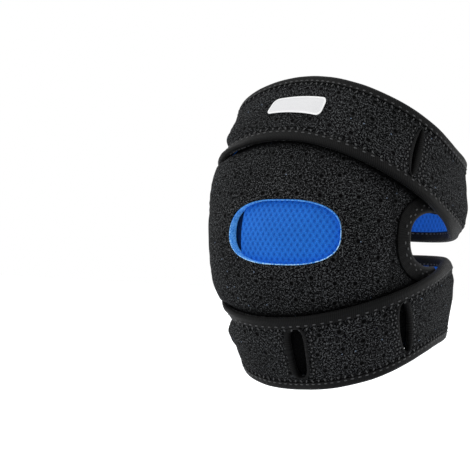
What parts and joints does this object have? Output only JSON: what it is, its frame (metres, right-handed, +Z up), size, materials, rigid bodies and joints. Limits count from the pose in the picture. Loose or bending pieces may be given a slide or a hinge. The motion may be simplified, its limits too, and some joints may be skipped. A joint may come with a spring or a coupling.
{
  "type": "patella strap",
  "caption": "Open-patella knee support: a foam and mesh front panel with a kneecap opening, held by wrap straps above and below the knee.",
  "frame": {"origin": "middle of the knee, on the axis of the leg that the support is shaped on", "axes": "+Z up the leg, -Y out of the kneecap, +X to the side whose notch and slits face the viewer in the picture"},
  "size_m": [0.1268, 0.1311, 0.1589],
  "materials": {
    "loop_cloth": "black brushed loop cloth on foam",
    "blue_mesh": "blue spacer mesh",
    "cut_edge": "light blue cut foam edge",
    "woven_tape": "dark grey ribbed binding tape",
    "hook_tape": "black hook tape",
    "label_cloth": "pale woven label, bare"
  },
  "bodies": {
    "root": {"body_panel": "loop_cloth", "body_lining": "blue_mesh", "side_binding_right": "woven_tape", "side_binding_left": "woven_tape", "opening_rim": "cut_edge", "knee_pad": "blue_mesh", "upper_strap": "loop_cloth", "upper_strap_lining": "blue_mesh", "upper_hook_tab": "hook_tape", "upper_strap_top_binding": "woven_tape", "upper_strap_bottom_binding": "woven_tape", "lower_strap": "loop_cloth", "lower_strap_lining": "blue_mesh", "lower_hook_tab": "hook_tape", "lower_strap_top_binding": "woven_tape", "lower_strap_bottom_binding": "woven_tape", "upper_slit_binding": "woven_tape", "lower_slit_binding_front": "woven_tape", "lower_slit_binding_side": "woven_tape", "label_patch": "label_cloth"}
  },
  "joints": []
}
